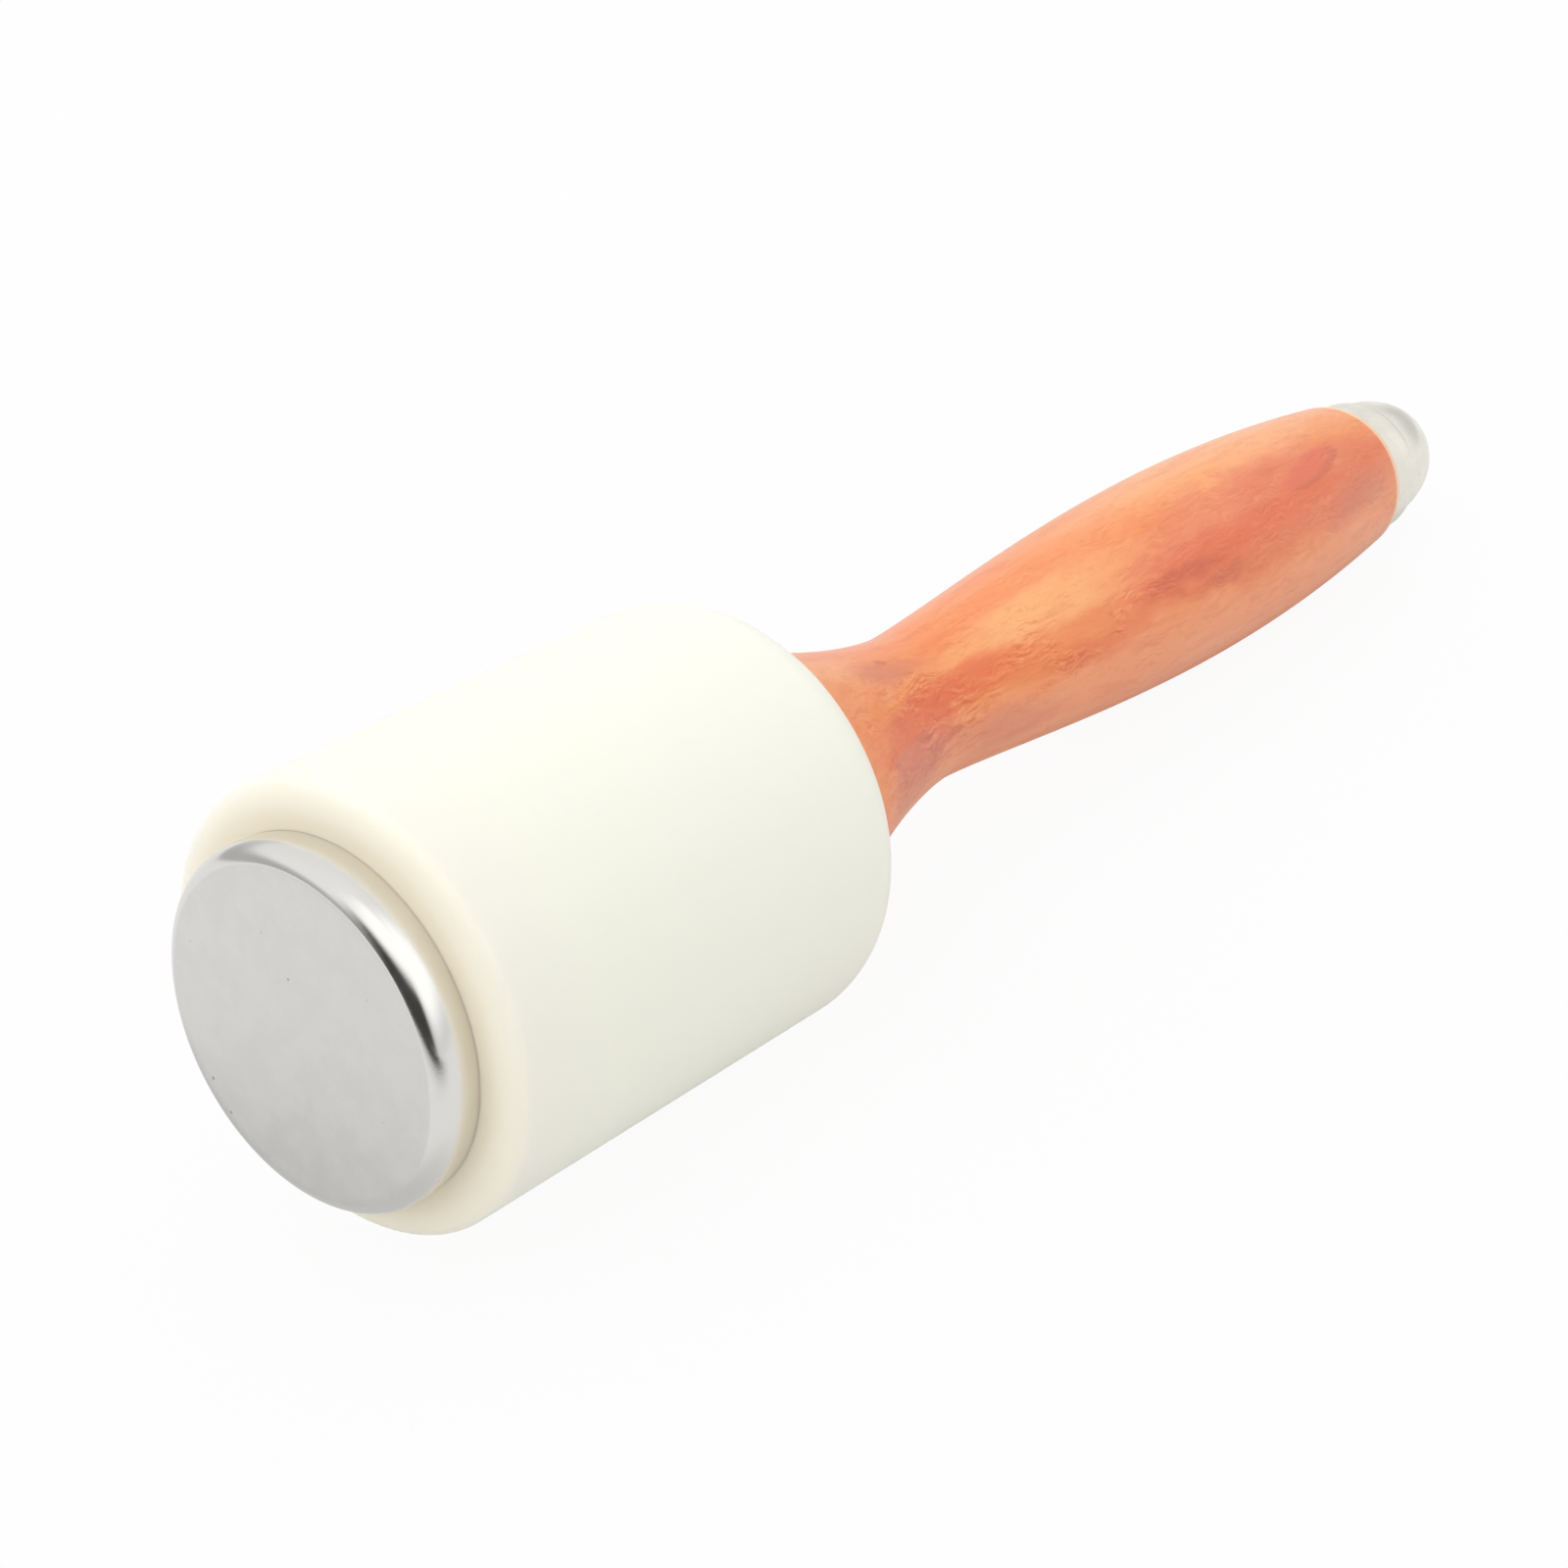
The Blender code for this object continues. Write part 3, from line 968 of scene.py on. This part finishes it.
@dataclass(frozen=True)
class Handle:
    """The turned handle: tenon, flared shoulder, neck, swelling grip and rounded end."""

    lathe: Lathe
    tenon_length: float = 0.0080
    tenon_radius: float = 0.0120
    bore_radius: float = 0.0043
    flare_radius: float = 0.0185
    flare_lip: float = 0.0006
    flare_power: float = 1.6
    neck_radius: float = 0.0096
    neck_at: float = 0.0320
    swell_radius: float = 0.0136
    swell_at: float = 0.0955
    grip_ease: float = 0.72
    end_radius: float = 0.0110
    tail_power: float = 2.0
    end_round: float = 0.0010
    stains_and_painted_highlights: tuple[Stain, ...] = (
        Stain(Tone.TAN, 0.0700, 58.0, 0.0850, 24.0, 0.75),
        # Paler stain and a painted highlight of the overhead light along the top of the grip.
        Stain(Tone.STRAW, 0.1060, -56.0, 0.0420, 27.0, 0.65),
        # Paler stain and a painted highlight of the overhead light along the top of the neck.
        Stain(Tone.PEACH, 0.0350, -60.0, 0.0300, 22.0, 0.50),
        Stain(Tone.AMBER, 0.0520, -40.0, 0.0220, 12.0, 0.55),
        Stain(Tone.STRAW, 0.0500, -14.0, 0.0200, 13.0, 0.80),
        Stain(Tone.STRAW, 0.0100, -22.0, 0.0050, 12.0, 0.50),
        Stain(Tone.AMBER, 0.0480, 20.0, 0.0050, 14.0, 0.70),
        Stain(Tone.AMBER, 0.0085, 10.0, 0.0036, 40.0, 0.60, 0.0, 0.35),
        Stain(Tone.ROSE, 0.0200, 24.0, 0.0085, 24.0, 0.85, 0.0, 0.14, Edge.TIGHT),
        Stain(Tone.SMOKE, 0.0185, 40.0, 0.0070, 22.0, 0.50, 0.0, 0.22, Edge.TIGHT),
        Stain(Tone.SMOKE, 0.0300, 41.0, 0.0120, 11.0, 0.30),
        Stain(Tone.SMOKE, 0.0410, 54.0, 0.0080, 15.0, 0.40),
        Stain(Tone.RUST, 0.0230, 9.0, 0.0105, 11.0, 0.75, -3.0, 0.40),
        Stain(Tone.RUST, 0.0280, -3.0, 0.0060, 7.0, 0.60, 0.0, 0.40),
        Stain(Tone.RUST, 0.0335, 7.0, 0.0105, 11.0, 0.85, -4.0, 0.45),
        Stain(Tone.ORANGE, 0.0430, 12.0, 0.0060, 9.0, 0.60),
        Stain(Tone.BRICK, 0.0280, 33.0, 0.0024, 3.0, 0.60, -20.0),
        Stain(Tone.SMOKE, 0.0205, -25.0, 0.0065, 11.0, 0.55),
        Stain(Tone.BRICK, 0.0228, -35.0, 0.0010, 2.6, 0.60),
        Stain(Tone.RUST, 0.0580, 23.0, 0.0100, 9.0, 0.60),
        Stain(Tone.ORANGE, 0.0620, 7.0, 0.0100, 7.0, 0.50),
        Stain(Tone.ROSE, 0.1020, 1.0, 0.0350, 28.0, 0.90, 0.0, 0.35),
        Stain(Tone.ROSE, 0.0930, -21.0, 0.0140, 11.0, 0.40, 0.0, 0.20),
        Stain(Tone.PEACH, 0.0860, -16.0, 0.0120, 8.0, 0.40),
        Stain(Tone.RUST, 0.0890, 8.0, 0.0220, 12.0, 0.70, -2.0),
        Stain(Tone.BRICK, 0.0785, 12.0, 0.0090, 6.0, 0.75),
        Stain(Tone.BRICK, 0.0860, 24.0, 0.0055, 4.5, 0.60),
        Stain(Tone.RUST, 0.1060, 4.0, 0.0150, 6.0, 0.60, -4.0, 0.50),
        Stain(Tone.BRICK, 0.1156, -9.4, 0.0082, 7.6, 0.60, -9.0, 0.15, Edge.TIGHT),
        Stain(Tone.CORAL, 0.1140, -11.6, 0.0080, 6.6, 0.85, -9.0, 0.28, Edge.TIGHT),
        Stain(Tone.SMOKE, 0.1265, 20.0, 0.0095, 14.0, 0.55),
        Stain(Tone.RUST, 0.1310, -5.0, 0.0065, 13.0, 0.50),
        Stain(Tone.PEACH, 0.0980, 54.0, 0.0150, 6.0, 0.50),
        Stain(Tone.RUST, 0.0700, 165.0, 0.0260, 18.0, 0.60, -5.0),
        Stain(Tone.STRAW, 0.0500, -130.0, 0.0240, 20.0, 0.60),
        Stain(Tone.BRICK, 0.1050, -110.0, 0.0180, 16.0, 0.50, 6.0),
        Stain(Tone.STRAW, 0.1100, 130.0, 0.0220, 22.0, 0.60),
        Stain(Tone.ROSE, 0.0250, -150.0, 0.0120, 24.0, 0.60),
    )

    def grip_radius(self, behind: float, length: float) -> float:
        """Give the radius at a distance behind the head.

        Args:
            behind: Distance from the shoulder.
            length: Length from the shoulder to the end.

        Returns:
            The radius.
        """
        if behind < self.neck_at:
            left = 1.0 - behind / self.neck_at
            return self.neck_radius + (self.flare_radius - self.neck_radius) * left ** self.flare_power
        if behind < self.swell_at:
            rise = ((behind - self.neck_at) / (self.swell_at - self.neck_at)) ** self.grip_ease
            eased = rise * rise * (3.0 - 2.0 * rise)
            return self.neck_radius + (self.swell_radius - self.neck_radius) * eased
        fall = (behind - self.swell_at) / (length - self.swell_at)
        return self.swell_radius - (self.swell_radius - self.end_radius) * fall ** self.tail_power

    def build(self) -> bpy.types.Object:
        """Turn the handle, so that its shoulder meets the head.

        Returns:
            The piece.
        """
        reach = self.lathe.axis.reach("handle")
        shoulder_at = reach.start + self.tenon_length
        head_back = self.lathe.axis.reach("nylon_head").end
        length = reach.end - shoulder_at

        def radius_at(x: float) -> float:
            """Give the radius at a distance along the axis."""
            return self.grip_radius(max(x - shoulder_at, 0.0), length)

        lip_at = head_back + self.flare_lip
        outline = Outline(reach.start, self.bore_radius).line(reach.start, self.tenon_radius, 2)
        outline.line(head_back, self.tenon_radius, 3).line(head_back, radius_at(lip_at) - self.flare_lip, 2)
        outline.corner(lip_at, radius_at(lip_at), Leaves.SQUARE, 6)
        outline.follow(radius_at, reach.end - self.end_round, 220)
        outline.corner(reach.end, outline.points[-1][1] - self.end_round, Leaves.ALONG, 8)
        outline.line(reach.end, self.bore_radius, 3).line(reach.start, self.bore_radius, 24)
        outline.points.pop()
        piece = self.lathe.turn("handle_turned", outline, Core.BORED)
        visible = Reach(shoulder_at, reach.end, reach.radius)
        wood = StainedWood(self.stains_and_painted_highlights).material(self.lathe.axis, visible)
        dress(piece, wood, "handle")
        return piece


@dataclass(frozen=True)
class Butt:
    """The collar against the end of the wood, and the domed nut on it."""

    lathe: Lathe
    collar_round: float = 0.0005
    bore_radius: float = 0.0043
    hole_depth: float = 0.0085
    dome_power: float = 2.3
    finish: PolishedSteel = PolishedSteel()

    def build(self) -> list[bpy.types.Object]:
        """Turn the collar and the domed nut.

        Returns:
            The two pieces.
        """
        steel = self.finish.material(self.lathe.axis)
        collar = self.collar()
        dress(collar, steel, "butt_collar")
        dome = self.dome()
        dress(dome, steel, "butt_cap")
        return [collar, dome]

    def collar(self) -> bpy.types.Object:
        """Turn the collar, from the end of the wood to the domed nut.

        Returns:
            The piece.
        """
        reach = self.lathe.axis.reach("butt_collar")
        wood_end = self.lathe.axis.reach("handle").end
        small = reach.radius - self.collar_round
        outline = Outline(wood_end, self.bore_radius).line(wood_end, small, 3)
        outline.corner(wood_end + self.collar_round, reach.radius, Leaves.SQUARE, 6)
        outline.line(reach.end - self.collar_round, reach.radius, 8)
        outline.corner(reach.end, small, Leaves.ALONG, 6).line(reach.end, self.bore_radius, 3)
        return self.lathe.turn("butt_collar_turned", outline, Core.BORED)

    def dome(self) -> bpy.types.Object:
        """Turn the domed nut, with its blind hole.

        Returns:
            The piece.
        """
        reach = self.lathe.axis.reach("butt_cap")
        seat = self.lathe.axis.reach("butt_collar").end
        floor = reach.start + self.hole_depth
        outline = Outline(floor, 0.0).line(floor, self.bore_radius).line(seat, self.bore_radius, 4)
        outline.line(seat, reach.radius, 3).line(reach.start, reach.radius)
        outline.corner(reach.end, 0.0, Leaves.ALONG, 56, self.dome_power)
        return self.lathe.turn("butt_cap_domed", outline, Core.SOLID)


@dataclass(frozen=True)
class Fastenings:
    """The rod, the head nut and the washer inside."""

    axis: MalletAxis
    finish: ZincSteel = ZincSteel()

    def dress(self) -> list[bpy.types.Object]:
        """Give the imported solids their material.

        Returns:
            The solids.
        """
        zinc = self.finish.material(self.axis)
        pieces = [frame["nodes"][name] for name in ("tie_rod", "head_nut", "head_washer")]
        for piece in pieces:
            piece.data.materials.clear()
            piece.data.materials.append(zinc)
        return pieces


@dataclass(frozen=True)
class Panel:
    """A soft-edged part of the surround that is lighter or darker than the cloth round it.

    The bearing is counted from +X towards +Y. The bearing, the rise and the two half sizes are in degrees.
    """

    glow: float
    bearing: float
    rise: float
    half_width: float
    half_height: float
    soft: float = 0.50

    def mask(self, graph: Graph, toward: bpy.types.NodeSocket,
             rise: bpy.types.NodeSocket) -> bpy.types.NodeSocket:
        """Show where the panel is.

        Args:
            graph: The world's graph.
            toward: The direction that is looked in.
            rise: How far that direction rises, in radians.

        Returns:
            How much of the panel shows.
        """
        turned = graph.add("VectorRotate", {"Vector": toward, "Angle": -math.radians(self.bearing)},
                           rotation_type="Z_AXIS").outputs[0]
        x, y, _ = graph.split(turned)
        aside = graph.math("ABSOLUTE", graph.math("ARCTAN2", y, x))
        above = graph.math("ABSOLUTE", graph.math("SUBTRACT", rise, math.radians(self.rise)))
        inner, outer = math.radians(1.0 - self.soft), math.radians(1.0 + self.soft)
        masks = (graph.span(far, half * inner, half * outer, 1.0, 0.0)
                 for far, half in ((aside, self.half_width), (above, self.half_height)))
        return graph.math("MULTIPLY", *masks)


@dataclass(frozen=True)
class Tent:
    """The soft white surround with its panels, each hung over those before it."""

    cloth: float
    overhead: float
    panels: tuple[Panel, ...]
    overhead_from: Point = (math.radians(10.0), math.radians(42.0))

    def glow(self, graph: Graph, toward: bpy.types.NodeSocket,
             rise: bpy.types.NodeSocket) -> bpy.types.NodeSocket:
        """Show how light the tent is.

        Args:
            graph: The world's graph.
            toward: The direction that is looked in.
            rise: How far that direction rises, in radians.

        Returns:
            The light's socket.
        """
        glow = graph.span(rise, *self.overhead_from, self.cloth, self.overhead)
        for panel in self.panels:
            glow = graph.between(panel.mask(graph, toward, rise), glow, panel.glow)
        return glow


@dataclass(frozen=True)
class Shade:
    """A soft-edged dark patch painted on the floor, which only reflections in the metal show."""

    glow: float
    middle: Point
    half: Point
    soft: float


@dataclass(frozen=True)
class Studio:
    """A pale floor in a soft white tent, lit for matt surfaces and hung with panels for mirrored ones."""

    floor_radius: float = 1.4
    floor_steps: int = 96
    white: float = 0.985
    shadow_share: float = 0.05
    mirrored_white: float = 0.78
    mirrored_share: float = 0.85
    floor_colour: Colour = (0.80, 0.80, 0.785)
    painted_dark_patches: tuple[Shade, ...] = (
        # Painted shadow of the mallet on the floor in front of the striking face.
        Shade(0.62, (-0.118, 0.010), (0.022, 0.040), 0.50),
        # Painted dark reflection, on the floor beyond the striking face on the camera's side.
        Shade(0.05, (-0.920, -0.260), (0.700, 0.380), 0.22),
    )
    lit: Tent = Tent(0.64, 1.03, (
        Panel(0.95, 39.0, 8.0, 82.0, 56.0, 0.35),
        Panel(1.80, 172.0, 36.0, 48.0, 22.0),
        Panel(0.50, 200.0, 2.0, 40.0, 22.0),
    ))
    mirrored: Tent = Tent(0.76, 0.93, (
        Panel(0.88, 39.0, 8.0, 82.0, 56.0, 0.35),
        Panel(0.60, 0.0, 7.0, 20.0, 12.0, 0.45),
        Panel(0.92, 165.0, 32.0, 62.0, 26.0, 0.40),
        Panel(1.25, 232.0, 64.0, 62.0, 23.0, 0.42),
        Panel(1.28, 290.0, 42.0, 45.0, 26.0),
        Panel(0.48, 140.0, 2.0, 80.0, 15.0),
        Panel(0.05, 199.0, 0.0, 34.0, 31.0, 0.30),
    ))
    lamp_size: float = 0.9
    lamp_power: float = 0.8
    lamp_place: Place = (0.10, 0.22, 0.85)

    def build(self) -> None:
        """Make the floor, the surround and the lamp."""
        self.floor()
        self.surround()
        self.lamp()

    def floor(self) -> bpy.types.Object:
        """Lay the round floor.

        Returns:
            The floor.
        """
        shape = bmesh.new()
        bmesh.ops.create_circle(shape, cap_ends=True, segments=self.floor_steps, radius=self.floor_radius)
        mesh = bpy.data.meshes.new("floor")
        shape.to_mesh(mesh)
        shape.free()
        mesh.materials.append(self.floor_material())
        floor = stand("floor", mesh)
        return floor

    def floor_material(self) -> bpy.types.Material:
        """Make the floor white to the camera and to reflections, with the object's shadow on it, and painted
        dark patches that only reflections show.

        Returns:
            The material.
        """
        material = bpy.data.materials.new("pale_floor")
        material.use_nodes = True
        tree = material.node_tree
        tree.nodes.clear()
        graph = Graph(tree)
        diffuse = graph.add("BsdfDiffuse", {"Color": self.floor_colour}).outputs[0]
        seen = self.shaded_white(graph, self.white, self.shadow_share)
        mirrored = self.shaded_white(graph, self.mirrored_white, self.mirrored_share)
        spot = graph.add("TexCoord").outputs["Object"]
        # Lay the painted dark patches over what reflections see of the floor.
        for shade in self.painted_dark_patches:
            mask = graph.oval(spot, shade.middle, shade.half, shade.soft)
            dark = graph.add("Emission", {"Strength": shade.glow}).outputs[0]
            mirrored = graph.add("MixShader", {0: mask, 1: mirrored, 2: dark}).outputs[0]
        direct, clear = graph.rays()
        surface = graph.add("MixShader", {0: direct, 1: diffuse, 2: seen}).outputs[0]
        surface = graph.add("MixShader", {0: clear, 1: surface, 2: mirrored}).outputs[0]
        graph.add("OutputMaterial", {"Surface": surface})
        return material

    def shaded_white(self, graph: Graph, level: float, share: float) -> bpy.types.NodeSocket:
        """Make a white that keeps part of the shadows that fall on it.

        Args:
            graph: The floor's graph.
            level: How light it is.
            share: How much of the shadows it keeps.

        Returns:
            The shader's socket.
        """
        lit = graph.add("BsdfDiffuse", {"Color": (level * share,) * 3}).outputs[0]
        own = graph.add("Emission", {"Strength": level - level * share}).outputs[0]
        return graph.add("AddShader", {0: lit, 1: own}).outputs[0]

    def surround(self) -> None:
        """Make the world: white to the camera, a soft tent with its panels to the mallet."""
        world = bpy.data.worlds.new("white_tent")
        bpy.context.scene.world = world
        world.use_nodes = True
        world.node_tree.nodes.clear()
        graph = Graph(world.node_tree)
        toward = graph.add("TexCoord").outputs["Generated"]
        rise = graph.math("ARCSINE", graph.split(toward)[2])
        lit, mirrored = (tent.glow(graph, toward, rise) for tent in (self.lit, self.mirrored))
        direct, clear = graph.rays()
        glow = graph.between(clear, lit, mirrored)
        tent = graph.add("CombineColor", {0: glow, 1: glow, 2: glow}).outputs[0]
        colour = graph.mix(direct, tent, (self.white,) * 3)
        background = graph.add("Background", {"Color": colour}).outputs[0]
        graph.add("OutputWorld", {"Surface": background})

    def lamp(self) -> bpy.types.Object:
        """Hang the soft lamp over the mallet, out of its reflections.

        Returns:
            The lamp.
        """
        light = bpy.data.lights.new("overhead_softbox", "AREA")
        light.shape = "SQUARE"
        light.size = self.lamp_size
        light.energy = self.lamp_power
        lamp = stand("overhead_softbox", light)
        aim(lamp, self.lamp_place, (0.0, 0.0, 0.0))
        lamp.visible_glossy = False
        return lamp


@dataclass(frozen=True)
class PhotoCamera:
    """The camera of the photograph, beside the striking face and above it."""

    place: Place = (-0.25997, -0.18213, 0.21069)
    target: Place = (-0.02146, 0.01151, 0.01055)
    lens_mm: float = 67.5
    sensor_mm: float = 36.0
    clip: Point = (0.01, 20.0)

    def build(self) -> bpy.types.Object:
        """Set up the camera.

        Returns:
            The camera.
        """
        data = bpy.data.cameras.new("camera")
        data.lens = self.lens_mm
        data.sensor_width = self.sensor_mm
        data.clip_start, data.clip_end = self.clip
        camera = stand("camera", data)
        aim(camera, self.place, self.target)
        bpy.context.scene.camera = camera
        return camera


def main() -> None:
    """Build the mallet, its studio and the camera."""
    logging.basicConfig(level=logging.INFO, format="%(name)s: %(message)s")
    bpy.context.scene.view_settings.view_transform = "Standard"
    PhotoCamera().build()
    axis = MalletAxis.of_record(frame["record"])
    lathe = Lathe(axis)
    pieces = [FaceCap(lathe).build(), NylonHead(lathe).build(), Handle(lathe).build()]
    pieces += Butt(lathe).build()
    pieces += Fastenings(axis).dress()
    for piece in pieces:
        REPORT.info("%s: %d faces", piece.name, len(piece.data.polygons))
    Studio().build()


if __name__ == "__main__":
    main()
